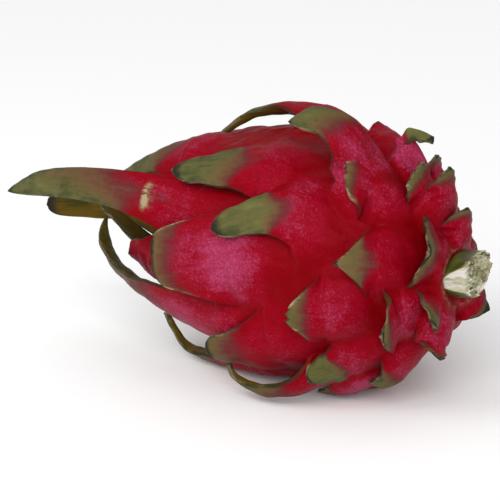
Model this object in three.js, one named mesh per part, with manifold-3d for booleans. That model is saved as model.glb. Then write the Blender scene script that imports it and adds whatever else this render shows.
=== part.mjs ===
// A dragon fruit as picked, lying on its side: the fruit with its bracts, and the cut stem.
// Millimetres, +Z up. +X runs along the fruit's own axis towards the stem end. The origin is on the
// surface that the fruit lies on, in the flat spot under its girth.

import * as THREE from 'three';
import { mergeVertices } from 'three/addons/utils/BufferGeometryUtils.js';
import Module from 'manifold-3d';

const { degToRad, smoothstep, clamp, lerp } = THREE.MathUtils;

// driving dimensions of the body, without its bracts
const girthRadius = 44;
const stemReach = 58;
const blossomReach = 68;
const axisHeight = 49;
const stemFullness = 0.8;
const blossomFullness = 0.9;

// how the far side of the stem half is drawn in: how deep, how far along the skin, and how widely
const leanDepth = 6;
const leanAlong = 28;
const leanSpread = 30;

// the shallow navel that the flower left at the blossom end
const navelDepth = 4;
const navelRadius = 8;

// the low mound that a bract grows out of: how soon it drops, how much of its width it has at the
// back, and how it climbs and rounds off
const moundDrop = 5;
const moundRootShare = 0.8;
const moundClimb = 1.2;
const moundRound = 1.5;
const moundBlend = 4;
const dimpleRadius = 14;

// the blade of a bract: its thickness, its tip, and the root that is sunk in the mound
const bladeRootThickness = 4.5;
const bladeEdgeThickness = 0.8;
const bladeThinning = 1.3;
const bladeHollow = 0.75;
const paddleAt = 0.72;
const paddleSpread = 0.2;
const twistLate = 1.5;
const bladeTipWidth = 1.4;
const bladeRootLength = 13;
const bladeSunk = 1.2;
const bladeSunkFade = 4;
const bladeRootDepth = 6;
const moundShapeEnds = 0.35;
const tightestRadius = 8;
const floorClearance = 1.5;
const floorEase = 3;
const floorRootEnds = 0.4;

// the cut stem: its round and its lean, the end with its torn fibres, and the slice off its front
const stemRadius = 7.8;
const stemRidge = 0.13;
const stemRidges = 3;
const stemSunk = 4.5;
const stemGap = 0.4;
const stemLean = 0.19;
const stemEnd = 67.3;
const stemRake = 0.12;
const stemTear = { length: 1.2, y: 7, up: 2, wide: 3.5, high: 5 };
const stemSlice = { foot: 59.3, y: -8.9, up: -0.8, slope: 2.36, climb: 0.72 };

// how finely the surfaces are stepped
const stepsAlong = 29;
const stepsAround = 40;
const pathSteps = 24;
const pathCrowd = 1.25;
const bladeSteps = { short: [3, 3], middling: [4, 4], long: [6, 4] };
const middlingReach = 17;
const longReach = 42;
const stemSides = 24;
const meridianSteps = 1600;
const poleShare = 0.003;
const weldDistance = 1e-4;
const roomy = 400;

// A bract is one scale leaf:
//   along, around   the middle of the line where it leaves the skin: mm along the skin from the stem
//                   end, and degrees round the axis from the top, rising towards the front (-Y)
//   veer, bend      degrees that it heads sideways there, and turns by its tip
//   lift, curl      degrees that it stands off the skin there, and turns by its tip
//   reach, wide     length of its free blade, and width where it leaves the skin
//   tongue, narrow  share of the width that its outer part keeps, and how soon it narrows to that
//   point, blunt    how pointed and how square its tip is
//   rise, cup       height of its mound, and how far its margins turn in, as a share of the width
//   late            how late along the blade the curl and the bend come
//   thick, paddle   thickness of the tip, and the share of the width that its end widens by
//   spread, run     half width of its mound as a share of the width, and how far back it starts
//   twist           degrees that its tip is twisted
const plainBract = { veer: 0, lift: 10, curl: 0, bend: 0, tongue: 0.4, narrow: 2, point: 0.7,
  blunt: 3, rise: 6, cup: 0.14, late: 1.2, thick: 1.3, paddle: 0, spread: 0.62, run: 24,
  twist: 0 };

// the long straps round the blossom end
const crownBracts = [
  { along: 104, around: 68, veer: -6, lift: 25, curl: -36, bend: 21, reach: 101, wide: 28,
    tongue: 0.44, narrow: 5, blunt: 4.5, thick: 2.2 },
  { along: 128, around: 29, veer: 10, lift: 12, curl: -20, reach: 46, wide: 28, tongue: 0.5,
    rise: 7, thick: 2.2 },
  { along: 128, around: 335, lift: 14, curl: -4, bend: 5, reach: 34, wide: 26, tongue: 0.35,
    rise: 5 },
  { along: 150, around: 280, veer: 3, lift: 19, reach: 74, wide: 20, tongue: 0.55, blunt: 14,
    point: 0.4, rise: 5, thick: 2 },
  { along: 150, around: 225, lift: 21, reach: 60, wide: 20, rise: 5 },
  { along: 151, around: 144, veer: -22, lift: 26, reach: 39, wide: 25, tongue: 0.62, blunt: 8,
    point: 0.5, rise: 5, thick: 2 },
  { along: 142, around: 114, lift: 24, reach: 18, wide: 24, tongue: 0.6, blunt: 6, rise: 5 },
  { along: 158, around: 60, lift: 26, curl: 12, reach: 27, wide: 18, rise: 4 },
  { along: 160, around: 330, lift: 24, curl: 10, reach: 25, wide: 18, rise: 4 },
];

// the narrow straps that arch clear of the body
const archedBracts = [
  { along: 93, around: 120, lift: -2, curl: -50, bend: 6, reach: 112, wide: 26, tongue: 0.34,
    late: 1.9, thick: 3, twist: -45 },
  { along: 60, around: 147, veer: -28, lift: 38, curl: -97, bend: 30, reach: 44, wide: 26,
    tongue: 0.22, narrow: 3, thick: 2.2 },
  { along: 96, around: 160, lift: 24, curl: -67, reach: 58, wide: 26, tongue: 0.24, narrow: 3,
    thick: 2.2 },
  { along: 86, around: 353, veer: 8, lift: 8, curl: -62, bend: 5, reach: 53, wide: 26,
    tongue: 0.22, narrow: 3.5, rise: 7, thick: 2 },
  { along: 49, around: 30, veer: -24, lift: 70, curl: -124, bend: 44, reach: 37, wide: 19,
    tongue: 0.68, spread: 0.92, narrow: 4, blunt: 5, rise: 9, late: 0.9, thick: 2.6 },
];

// the broad bracts that lie along the middle of the fruit
const flankBracts = [
  { along: 83, around: 84, veer: 7, lift: 6, bend: 4, reach: 34, wide: 35, tongue: 0.55, narrow: 1,
    blunt: 20, point: 0.35, cup: 0.1 },
  { along: 64, around: 59, veer: 22, lift: 4, curl: -9, bend: 13, reach: 29, wide: 26,
    tongue: 0.45, spread: 0.81, narrow: 4, blunt: 6, point: 0.5, thick: 3.2 },
  { along: 80, around: 43, veer: 16, lift: 0, curl: -3, reach: 37, wide: 27, tongue: 0.48,
    spread: 0.73, narrow: 2.8, blunt: 5, point: 0.55, rise: 8, thick: 2.6 },
  { along: 70, around: 124, veer: 5, lift: 8, curl: -8, bend: -3, reach: 29, wide: 30,
    narrow: 1.4, blunt: 16, point: 0.45 },
  { along: 108, around: 312, veer: -5, lift: 0, curl: -4, reach: 34, wide: 26, rise: 4 },
];

// the short bracts of the stem half
const shoulderBracts = [
  { along: 41, around: 35, veer: 18, lift: 25, curl: -10, bend: 15, reach: 13, wide: 22,
    tongue: 0.8, narrow: 1.5, blunt: 4, point: 0.5, rise: 7, cup: 0.06 },
  { along: 30, around: 10, veer: 20, lift: 24, curl: -14, reach: 9, wide: 21, tongue: 0.75,
    narrow: 1.2, blunt: 5, point: 0.5, rise: 7, cup: 0.15 },
  { along: 35, around: 350, veer: 20, lift: 52, reach: 6.5, wide: 20, tongue: 0.55, narrow: 1.4 },
  { along: 46, around: 3, veer: 15, lift: 122, curl: 42, reach: 11, wide: 9, tongue: 0.28,
    spread: 1.5, narrow: 5, blunt: 8, point: 0.5, rise: 8.5, cup: 0.08, late: 0.8, thick: 2.4,
    paddle: 0.4 },
  { along: 58, around: 350, lift: 8, reach: 8, wide: 26, tongue: 0.5, narrow: 1.4, rise: 5 },
  { along: 32, around: 74, veer: 8, lift: 16, bend: 6, reach: 16, wide: 24, tongue: 0.3,
    spread: 0.7, narrow: 1, blunt: 2, point: 1, cup: 0.12 },
  { along: 48, around: 104, veer: -6, lift: 12, bend: -4, reach: 14, wide: 26, tongue: 0.5,
    narrow: 1.2, cup: 0.12 },
  { along: 48, around: 138, lift: 10, curl: -4, reach: 15, wide: 19, tongue: 0.75, spread: 0.78,
    narrow: 1.6, blunt: 6, point: 0.5, thick: 2.4 },
  { along: 52, around: 160, lift: 10, curl: -4, reach: 20, wide: 26, narrow: 1.7, rise: 7 },
  { along: 34, around: 160, veer: -8, lift: 36, curl: -84, bend: -10, reach: 17, wide: 24,
    narrow: 1.4 },
  { along: 25, around: 116, veer: -10, lift: 40, curl: -10, bend: -10, reach: 12, wide: 26,
    tongue: 0.5, narrow: 1, cup: 0.1 },
];

// the small bracts round the stem
const stemRingBracts = [
  { along: 26, around: 0, veer: 4, lift: 45, curl: -12, reach: 9, wide: 20, narrow: 1.2,
    rise: 9, cup: 0.25, run: 15, spread: 0.75 },
  { along: 13, around: 56, veer: 6, lift: 42, curl: -22, bend: 6, reach: 13, wide: 28,
    tongue: 0.75, narrow: 1, blunt: 2.5, point: 0.6, rise: 5, cup: 0.28 },
  { along: 12, around: 122, lift: 42, curl: -10, reach: 12, wide: 22, tongue: 0.6, narrow: 1.2,
    rise: 5, cup: 0.2 },
  { along: 12, around: 225, lift: 35, curl: -10, reach: 8, wide: 19, tongue: 0.6, narrow: 1.2,
    rise: 8, cup: 0.22 },
  { along: 20, around: 150, lift: 52, curl: 10, reach: 6, wide: 15, tongue: 0.5, spread: 0.95,
    narrow: 1.2, rise: 10, cup: 0.1 },
  { along: 14, around: 343, veer: 14, lift: 24, curl: -24, reach: 9, wide: 20, tongue: 0.75,
    narrow: 1.2, rise: 7, cup: 0.28 },
  { along: 17, around: 280, lift: 12, curl: -10, reach: 6, wide: 24, tongue: 0.6, narrow: 1.2,
    rise: 4, cup: 0.1 },
  { along: 31, around: 298, lift: 8, curl: -10, bend: 5, reach: 7, wide: 22, tongue: 0.5,
    narrow: 1.2, rise: 2.5, cup: 0.1 },
  { along: 33, around: 258, lift: 12, curl: -10, bend: -5, reach: 9, wide: 26, tongue: 0.5,
    narrow: 1.2, rise: 5, cup: 0.1 },
  { along: 30, around: 222, lift: 12, curl: -10, bend: 5, reach: 9, wide: 26, tongue: 0.5,
    narrow: 1.2, rise: 5, cup: 0.1 },
];

// the bracts that the fruit lies on, pressed flat
const undersideBracts = [
  { along: 60, around: 186, lift: 2, curl: -6, reach: 24, wide: 28, rise: 9 },
  { along: 86, around: 180, lift: 2, curl: -6, reach: 32, wide: 28, rise: 8.5 },
  { along: 110, around: 186, lift: 2, curl: -6, reach: 36, wide: 26, rise: 9.5 },
];

// the rule that sets bracts over the far side, in the golden angle of the spiral they grow in, and
// how they differ from the stem end (near) to the blossom end (far), each with its chance share
const spiral = { count: 48, turn: 137.5, start: 20, first: 14, span: 140, crowd: 0.95, spacing: 19,
  fromAround: 178, toAround: 352, fromAlong: 38 };
const farShape = {
  full: 150,
  veer: { near: 0, far: 0, chance: 8 },
  lift: { near: 36, far: 4, chance: 6 },
  curl: { near: 0, far: -26, chance: 10 },
  bend: { near: 0, far: 0, chance: 20 },
  reach: { near: 13, far: 53, chance: 4 },
  wide: { near: 28, far: 24, chance: 0 },
  tongue: { near: 0.5, far: 0.35, chance: 0 },
  narrow: { near: 1.4, far: 2.8, chance: 0 },
  rise: { near: 6.5, far: 6.5, chance: 0 },
};
const drawTurn = 12.9898;
const drawScale = 43758.5453;

// A repeatable draw between -1 and 1 for a number.
function draw(number) {
  const wave = Math.sin(number * drawTurn) * drawScale;
  return 2 * (wave - Math.floor(wave)) - 1;
}

// The skin's profile from the stem pole to the blossom pole: x along the axis, y the radius.
class Meridian extends THREE.Curve {
  getPoint(t, target = new THREE.Vector3()) {
    const angle = t * Math.PI;
    const stemSide = Math.cos(angle) > 0;
    const reach = stemSide ? stemReach : blossomReach;
    const fullness = stemSide ? stemFullness : blossomFullness;
    const radius = girthRadius * Math.max(Math.sin(angle), 0) ** fullness;
    return target.set(reach * Math.cos(angle), radius, 0);
  }
}

const meridian = new Meridian();
meridian.arcLengthDivisions = meridianSteps;
const skinLength = meridian.getLength();

// Radius of the bare body at a distance along the skin.
function radiusAt(along) {
  return meridian.getPointAt(clamp(along / skinLength, 0, 1)).y;
}

// How much of the mounds is left beside the dimple of the stem.
function dimpleShare(along) {
  return smoothstep(along, 0, dimpleRadius);
}

// How far the skin is drawn in on the far side of the stem half.
function leanAt(along, around) {
  const spread = Math.exp(-(((along - leanAlong) / leanSpread) ** 2));
  return leanDepth * ((1 - Math.sin(around)) / 2) ** 1.5 * spread * dimpleShare(along);
}

// A point of the bare body with its outward normal, its tangent towards the blossom end and its
// sideways tangent.
function skinAt(along, around) {
  const share = clamp(along / skinLength, 0, 1);
  const place = meridian.getPointAt(share);
  const slope = meridian.getTangentAt(clamp(share, poleShare, 1 - poleShare));
  const [sine, cosine] = [Math.sin(around), Math.cos(around)];
  const normal = new THREE.Vector3(slope.y, slope.x * sine, -slope.x * cosine);
  const point = new THREE.Vector3(place.x, -place.y * sine, axisHeight + place.y * cosine);
  return {
    point: point.addScaledVector(normal, -leanAt(along, around)),
    normal,
    tangent: new THREE.Vector3(slope.x, -slope.y * sine, slope.y * cosine),
    side: new THREE.Vector3(0, -cosine, -sine),
  };
}

// Height of a bract's mound, ahead of its free line by ahead mm and to its side by aside mm: a
// smooth climb from the root, a short drop past the line, and a round top across.
function moundHeight(bract, ahead, aside) {
  const climb = smoothstep(ahead, -bract.run, 0);
  const rise = ahead < 0 ? climb ** moundClimb : 1 - smoothstep(ahead, 0, moundDrop);
  const half = bract.spread * bract.wide * lerp(moundRootShare, 1, climb);
  const across = clamp(Math.abs(aside) / half, 0, 1);
  return bract.rise * rise * (1 - across ** 2) ** moundRound;
}

// Height of all the mounds together, less the navel.
function relief(bracts, along, around) {
  const radius = radiusAt(along);
  let sum = 0;
  for (const bract of bracts) {
    const turn = around - degToRad(bract.around);
    const aside = radius * Math.atan2(Math.sin(turn), Math.cos(turn));
    const ahead = along - bract.along;
    const veer = degToRad(bract.veer);
    const height = moundHeight(bract, ahead * Math.cos(veer) + aside * Math.sin(veer),
      -ahead * Math.sin(veer) + aside * Math.cos(veer));
    sum += height ** moundBlend;
  }
  const navel = navelDepth * Math.exp(-(((skinLength - along) / navelRadius) ** 2));
  return sum ** (1 / moundBlend) * dimpleShare(along) - navel;
}

// The bracts of the far side: steps of the spiral that land there, well clear of all the others.
function farBracts(others) {
  const found = [];
  for (let step = 0; step < spiral.count; step++) {
    const along = spiral.first + spiral.span * (step / (spiral.count - 1)) ** spiral.crowd;
    const around = (step * spiral.turn + spiral.start) % 360;
    const hidden = around > spiral.fromAround && around < spiral.toAround;
    if (!hidden || along < spiral.fromAlong) continue;
    const gaps = [...others, ...found].map((bract) => {
      const turn = degToRad(around - bract.around);
      const aside = radiusAt(along) * Math.atan2(Math.sin(turn), Math.cos(turn));
      return Math.hypot(along - bract.along, aside);
    });
    if (Math.min(...gaps) < spiral.spacing) continue;
    found.push(farBract(step, along, around));
  }
  return found;
}

// A bract of the far side: short and upright near the stem, long and flat near the blossom end.
function farBract(step, along, around) {
  const { full, ...traits } = farShape;
  const bract = { ...plainBract, along, around };
  Object.entries(traits).forEach(([trait, { near, far, chance }], order) => {
    bract[trait] = lerp(near, far, along / full) + chance * draw(step + order / 10);
  });
  return bract;
}

function allBracts() {
  const placed = [...crownBracts, ...archedBracts, ...flankBracts, ...shoulderBracts,
    ...stemRingBracts, ...undersideBracts].map((bract) => ({ ...plainBract, ...bract }));
  return [...placed, ...farBracts(placed)];
}

// The bare body with the mounds raised on it, as a ball whose points are moved.
function bodyGeometry(bracts) {
  const ball = new THREE.SphereGeometry(1, stepsAround, stepsAlong);
  const place = ball.attributes.position;
  for (let i = 0; i < place.count; i++) {
    const along = skinLength * Math.floor(i / (stepsAround + 1)) / stepsAlong;
    const around = 2 * Math.PI * (i % (stepsAround + 1) % stepsAround) / stepsAround;
    const { point, normal } = skinAt(along, around);
    const atPole = along === 0 || along === skinLength;
    point.addScaledVector(normal, relief(bracts, along, atPole ? 0 : around));
    if (atPole) point.set(point.x, 0, axisHeight);
    place.setXYZ(i, point.x, point.y, point.z);
  }
  return ball;
}

// Share of the way along the blade at a step of its path, with the steps shorter near the root.
function pathShare(step) {
  return 1 - (1 - step / pathSteps) ** pathCrowd;
}

// Keeps a height clear of the surface below, easing in.
function aboveFloor(height) {
  const eased = floorClearance + floorEase;
  return height < eased ? floorClearance + floorEase * Math.exp((height - eased) / floorEase) : height;
}

// The middle line of a blade: it sets off at the lift and the veer, and turns by the curl and the
// bend on its way.
function bladePath(bract) {
  const { point, normal, tangent, side } = skinAt(bract.along, degToRad(bract.around));
  const start = point.addScaledVector(normal, bract.rise * dimpleShare(bract.along));
  const points = [start.clone()];
  const sides = [];
  let heading = null;
  for (let step = 0; step <= pathSteps; step++) {
    const turned = pathShare(step) ** bract.late;
    const lift = degToRad(bract.lift + bract.curl * turned);
    const yaw = degToRad(bract.veer + bract.bend * turned);
    const flat = tangent.clone().multiplyScalar(Math.cos(yaw)).addScaledVector(side, Math.sin(yaw));
    const next = flat.multiplyScalar(Math.cos(lift)).addScaledVector(normal, Math.sin(lift));
    sides.push(side.clone().multiplyScalar(Math.cos(yaw)).addScaledVector(tangent, -Math.sin(yaw)));
    if (heading) {
      const length = bract.reach * (pathShare(step) - pathShare(step - 1));
      const way = heading.add(next).normalize().multiplyScalar(length);
      points.push(points[points.length - 1].clone().add(way));
    }
    heading = next;
  }
  const lowRoot = start.z < floorClearance + floorEase;
  const rootLift = start.z - aboveFloor(start.z);
  points.forEach((spot, step) => {
    const kept = lowRoot ? rootLift * (1 - smoothstep(pathShare(step), 0, floorRootEnds)) : 0;
    spot.z = aboveFloor(spot.z) + kept;
  });
  return { points, sides };
}

// Width of the blade at a share of its length: broad at the root, a tongue, then the tip.
function bladeWidth(bract, share) {
  const taper = lerp((1 - share) ** bract.narrow, 1, bract.tongue);
  const paddle = bract.paddle * Math.exp(-(((share - paddleAt) / paddleSpread) ** 2));
  const tip = Math.max(1 - share ** bract.blunt, 0) ** bract.point;
  return Math.max(bract.wide * (taper + paddle) * tip, bladeTipWidth);
}

// Thickness of the blade at a share of its length and a share of its half width.
function bladeThickness(bract, share, across) {
  const middle = bladeRootThickness * (1 - share) ** bladeThinning + bract.thick;
  return Math.max(middle * (1 - bladeHollow * across ** 2), bladeEdgeThickness);
}

// A row of the blade that is sunk in its mound, ahead mm before the free line (below zero).
function rootRow(bract, ahead) {
  const veer = degToRad(bract.veer);
  const share = lerp(moundRootShare, 1, smoothstep(ahead, -bladeRootLength, 0));
  return (across, outside) => {
    const aside = across * bract.wide * share / 2;
    const along = bract.along + ahead * Math.cos(veer) - aside * Math.sin(veer);
    const offset = ahead * Math.sin(veer) + aside * Math.cos(veer);
    const around = degToRad(bract.around) + offset / Math.max(radiusAt(along), tightestRadius);
    const { point, normal } = skinAt(along, around);
    const sunk = bladeSunk * (1 - smoothstep(ahead, -bladeSunkFade, 0));
    const height = moundHeight(bract, ahead, aside) * dimpleShare(along) - sunk;
    return point.addScaledVector(normal, height - (outside ? 0 : bladeRootDepth));
  };
}

// A row of the free blade at a step of its path. Across the blade it first follows the mound, and
// further out its margins turn in; the twist turns it about the path.
function freeRow(bract, path, step) {
  const { points, sides } = path;
  const share = pathShare(step);
  const before = points[Math.max(step - 1, 0)];
  const after = points[Math.min(step + 1, pathSteps)];
  const heading = after.clone().sub(before).normalize();
  const side = sides[step].clone().addScaledVector(heading, -sides[step].dot(heading)).normalize();
  const outward = heading.clone().cross(side);
  const twist = degToRad(bract.twist) * share ** twistLate;
  side.applyAxisAngle(heading, twist);
  outward.applyAxisAngle(heading, twist);
  const width = bladeWidth(bract, share);
  const bodyRadius = Math.max(radiusAt(bract.along), tightestRadius);
  return (across, outside) => {
    const aside = across * width / 2;
    const reached = clamp(Math.abs(aside) / (bract.spread * bract.wide), 0, 1);
    const rise = bract.rise * dimpleShare(bract.along);
    const fall = 1 - (1 - reached ** 2) ** moundRound;
    const likeMound = -(aside ** 2) / (2 * bodyRadius) - rise * fall;
    const cupped = -bract.cup * width * across ** 2;
    const height = lerp(likeMound, cupped, smoothstep(share, 0, moundShapeEnds));
    const depth = outside ? 0 : bladeThickness(bract, share, across);
    return points[step].clone().addScaledVector(side, aside).addScaledVector(outward, height - depth);
  };
}

// The blade as a box whose points are moved: its length runs from the sunk root to the tip.
function bladeGeometry(bract) {
  const length = bract.reach < middlingReach ? 'short' : bract.reach < longReach ? 'middling' : 'long';
  const [stepsOut, stepsAcross] = bladeSteps[length];
  const path = bladePath(bract);
  const rows = [rootRow(bract, -bladeRootLength), rootRow(bract, -bladeRootLength / 3)];
  for (let i = 0; i <= stepsOut; i++) rows.push(freeRow(bract, path, i * pathSteps / stepsOut));
  const box = new THREE.BoxGeometry(1, 1, 1, rows.length - 1, 1, stepsAcross);
  const place = box.attributes.position;
  for (let i = 0; i < place.count; i++) {
    const row = rows[Math.round((place.getX(i) + 0.5) * (rows.length - 1))];
    const point = row(-2 * place.getZ(i), place.getY(i) > 0);
    place.setXYZ(i, point.x, point.y, point.z);
  }
  return box;
}

// How far out the end of the stem is: a plane, with torn fibres that stand out of it.
function endAt(y, up) {
  const away = ((y - stemTear.y) / stemTear.wide) ** 2 + ((up - stemTear.up) / stemTear.high) ** 2;
  return stemEnd + stemRake * up + stemTear.length * Math.exp(-away);
}

// What is left of a stem when the slanting slice is taken off its front: the slice's plane rises
// from its foot by its slope with y and by its climb with the height above the leaning axis.
function sliced(solid) {
  const { foot, y, up, slope, climb } = stemSlice;
  const axis = axisHeight - stemLean * stemReach;
  const normal = new THREE.Vector3(-1 - climb * stemLean, slope, climb);
  const offset = slope * y + climb * (up + axis) - foot;
  return solid.trimByPlane(normal.toArray(), offset / normal.length());
}

// The stub of stem from the given place to its end: three low ribs, leaning up as it goes out.
function stubGeometry(from, spare) {
  const stub = new THREE.CylinderGeometry(1, 1, 1, stemSides, 1);
  const place = stub.attributes.position;
  for (let i = 0; i < place.count; i++) {
    const angle = Math.atan2(place.getZ(i), place.getX(i));
    const share = Math.hypot(place.getX(i), place.getZ(i));
    const radius = share * (stemRadius * (1 + stemRidge * Math.cos(stemRidges * angle)) + spare);
    const [y, up] = [-radius * Math.cos(angle), radius * Math.sin(angle)];
    const x = place.getY(i) > 0 ? endAt(y, up) + spare : from;
    place.setXYZ(i, x, y, axisHeight + up + stemLean * (x - stemReach));
  }
  return stub;
}

const wasm = await Module();
wasm.setup();

// A closed geometry as a solid that can be joined and cut.
function solidOf(geometry) {
  const bare = geometry.clone();
  bare.deleteAttribute('normal');
  bare.deleteAttribute('uv');
  const merged = mergeVertices(bare, weldDistance);
  return new wasm.Manifold(new wasm.Mesh({
    numProp: 3,
    vertProperties: Float32Array.from(merged.attributes.position.array),
    triVerts: Uint32Array.from(merged.index.array),
  }));
}

// The outer skin of a solid as a geometry, without sealed hollows and loose scraps.
function skinOf(solid) {
  const { vertProperties, triVerts } = solid.getMesh();
  const owner = Array.from({ length: vertProperties.length / 3 }, (_, i) => i);
  const root = (i) => {
    while (owner[i] !== i) i = owner[i] = owner[owner[i]];
    return i;
  };
  for (let t = 0; t < triVerts.length; t += 3) {
    owner[root(triVerts[t + 1])] = root(triVerts[t]);
    owner[root(triVerts[t + 2])] = root(triVerts[t]);
  }
  const counts = new Map();
  for (const vertex of triVerts) counts.set(root(vertex), (counts.get(root(vertex)) ?? 0) + 1);
  const largest = [...counts].sort((one, other) => other[1] - one[1])[0][0];
  const kept = [];
  for (let t = 0; t < triVerts.length; t += 3) {
    if (root(triVerts[t]) === largest) kept.push(...triVerts.slice(t, t + 3));
  }
  const geometry = new THREE.BufferGeometry();
  geometry.setAttribute('position', new THREE.BufferAttribute(Float32Array.from(vertProperties), 3));
  geometry.setIndex(kept);
  return geometry;
}

// Everything below the surface that the fruit lies on.
function belowFloor() {
  return solidOf(new THREE.BoxGeometry(roomy, roomy, roomy).translate(0, 0, -roomy / 2));
}

function fruitSkin() {
  return new THREE.MeshStandardMaterial({ color: 0xb8123c, roughness: 0.45, metalness: 0 });
}

function stemSkin() {
  return new THREE.MeshStandardMaterial({ color: 0x6f8a38, roughness: 0.55, metalness: 0 });
}

function makeFruit() {
  const bracts = allBracts();
  let solid = solidOf(bodyGeometry(bracts));
  for (const bract of bracts) solid = solid.add(solidOf(bladeGeometry(bract)));
  const pocket = solidOf(stubGeometry(stemReach - stemSunk - stemGap, stemGap));
  const fruit = new THREE.Mesh(skinOf(solid.subtract(pocket).subtract(belowFloor())), fruitSkin());
  fruit.name = 'fruit';
  return fruit;
}

function makeStem() {
  const stub = sliced(solidOf(stubGeometry(stemReach - stemSunk, 0)));
  const stem = new THREE.Mesh(skinOf(stub), stemSkin());
  stem.name = 'stem';
  return stem;
}

const dragonFruit = new THREE.Group();
dragonFruit.add(makeFruit(), makeStem());

export default dragonFruit;
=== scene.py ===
import bpy
import numpy as np
from mathutils import Matrix, Vector


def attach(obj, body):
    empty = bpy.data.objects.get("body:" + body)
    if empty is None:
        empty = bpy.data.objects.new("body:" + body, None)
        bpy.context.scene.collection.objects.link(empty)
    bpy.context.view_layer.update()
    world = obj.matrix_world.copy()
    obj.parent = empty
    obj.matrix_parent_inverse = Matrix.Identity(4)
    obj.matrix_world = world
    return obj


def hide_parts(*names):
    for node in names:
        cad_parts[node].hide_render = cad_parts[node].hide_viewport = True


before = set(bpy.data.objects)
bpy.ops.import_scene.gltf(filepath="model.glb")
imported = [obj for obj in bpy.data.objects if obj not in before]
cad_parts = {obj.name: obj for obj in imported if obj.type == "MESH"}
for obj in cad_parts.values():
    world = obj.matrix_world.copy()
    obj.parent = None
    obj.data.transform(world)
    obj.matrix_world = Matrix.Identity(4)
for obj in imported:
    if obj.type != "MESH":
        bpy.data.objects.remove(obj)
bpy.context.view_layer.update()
mm = 0.001
print("frame loaded, nodes:", ", ".join(sorted(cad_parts)))

# The body without its bracts, in mm: x runs along the fruit's axis to the stem end, z is up, and
# "around" is the angle round the axis from the top, rising towards the front (-y).
body = dict(girthRadius=44.0, stemReach=58.0, blossomReach=68.0, axisHeight=49.0, stemFullness=0.80,
            blossomFullness=0.90, navelDepth=4.0, navelRadius=8.0, dimpleRadius=14.0,
            leanDepth=6.0, leanAlong=28.0, leanSpread=30.0, rowsAlong=250, rowsAround=380, swell=0.6,
            collarAt=9.6, collarHeight=0.7, collarWidth=0.9)

# The low mound that a bract grows out of, and its blade.
mound = dict(drop=5.0, rootShare=0.80, climb=1.2, roundness=1.5, blend=8.0, valleyShade=3.0,
             filletReach=6.0, filletSteepest=35)
blade = dict(rootThickness=4.5, edgeThickness=0.45, thinning=1.3, hollow=0.75,
             tipWidth=0.7, rootLength=13.0, sunk=0.9, sunkFade=5.0, rootDepth=6.0, moundShapeEnds=0.35,
             tightest=8.0, floorGap=1.5, floorEase=3.0, floorRootEnds=0.4, crowd=1.25,
             rootRows=9, freeRows=56, across=37, wave=0.35, waveTurns=2.6, rib=0.07, ribGap=1.9,
             soft=0.35, softSize=9.0)

# What a bract has unless it says otherwise: its heading (veer, lift, curl, bend, twist), its outline
# (reach, wide, tongue, narrow, point, blunt, paddle), its mound (rise, spread, run, keel), its
# section (cup, thick) and its looks (from green on), one of which scales the painted sheen on its crests.
plain = dict(veer=0, lift=10, curl=0, bend=0, tongue=0.40, narrow=2.0, point=0.7, blunt=3, rise=6.0,
             cup=0.14, late=1.2, thick=1.3, paddle=0.0, spread=0.62, run=24, twist=0, green=0.50,
             fade=0.50, dark=0.10, torn=0.0, keel=0.0, fold=0.0, tan=0.0, paintedSheen=0.80, blush=0.0, leafy=0.0)


def smooth(x):
    # zero below 0, one above 1, and 3x^2 - 2x^3 between them
    x = np.clip(x, 0, 1)
    return x * x * (3 - 2 * x)


def smoothTurn(turn):
    # an angle brought to between minus half a turn and half a turn
    return np.arctan2(np.sin(turn), np.cos(turn))


def meridian(steps=4001):
    # the skin's profile: x = reach cos(t), radius = girth sin(t)^fullness, with its length from the
    # stem pole
    t = np.linspace(0, np.pi, steps)
    stemSide = np.cos(t) > 0
    x = np.where(stemSide, body["stemReach"], body["blossomReach"]) * np.cos(t)
    fullness = np.where(stemSide, body["stemFullness"], body["blossomFullness"])
    radius = body["girthRadius"] * np.maximum(np.sin(t), 0) ** fullness
    length = np.concatenate([[0], np.cumsum(np.hypot(np.diff(x), np.diff(radius)))])
    return x, radius, length


meridianX, meridianRadius, meridianLength = meridian()
skinLength = meridianLength[-1]


def radiusAt(along):
    return np.interp(along, meridianLength, meridianRadius)


def leanAt(along, around):
    # how far the far side of the stem half is drawn in: ((1 - sin(around)) / 2)^1.5 of the depth
    spread = np.exp(-((along - body["leanAlong"]) / body["leanSpread"]) ** 2)
    farSide = ((1 - np.sin(around)) / 2) ** 1.5
    return body["leanDepth"] * farSide * spread * smooth(along / body["dimpleRadius"])


def skinAt(along, around):
    # point of the bare body, its outward normal, its tangent to the blossom end and its side tangent
    along, around = np.broadcast_arrays(np.asarray(along, float), np.asarray(around, float))
    reachStep = 0.3
    low = np.clip(along - reachStep, 0, skinLength - reachStep)
    high = np.clip(along + reachStep, reachStep, skinLength)
    x, radius = np.interp(along, meridianLength, meridianX), radiusAt(along)
    dx = np.interp(high, meridianLength, meridianX) - np.interp(low, meridianLength, meridianX)
    dr = radiusAt(high) - radiusAt(low)
    size = np.hypot(dx, dr)
    dx, dr = dx / size, dr / size
    sine, cosine, none = np.sin(around), np.cos(around), np.zeros_like(around)
    point = np.stack([x, -radius * sine, body["axisHeight"] + radius * cosine], -1)
    normal = np.stack([dr, dx * sine, -dx * cosine], -1)
    tangent = np.stack([dx, -dr * sine, dr * cosine], -1)
    side = np.stack([none, -cosine, -sine], -1)
    return point - normal * leanAt(along, around)[..., None], normal, tangent, side


def fillet(bract, ahead):
    # fills the hollow kink where the blade lifts off: tan(lift) (reach - |ahead|)^2 / (4 reach)
    steep = np.tan(np.radians(np.clip(bract["lift"], 0, mound["filletSteepest"])))
    within = np.clip(mound["filletReach"] - np.abs(ahead), 0, None)
    return steep * within ** 2 / (4 * mound["filletReach"])


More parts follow.
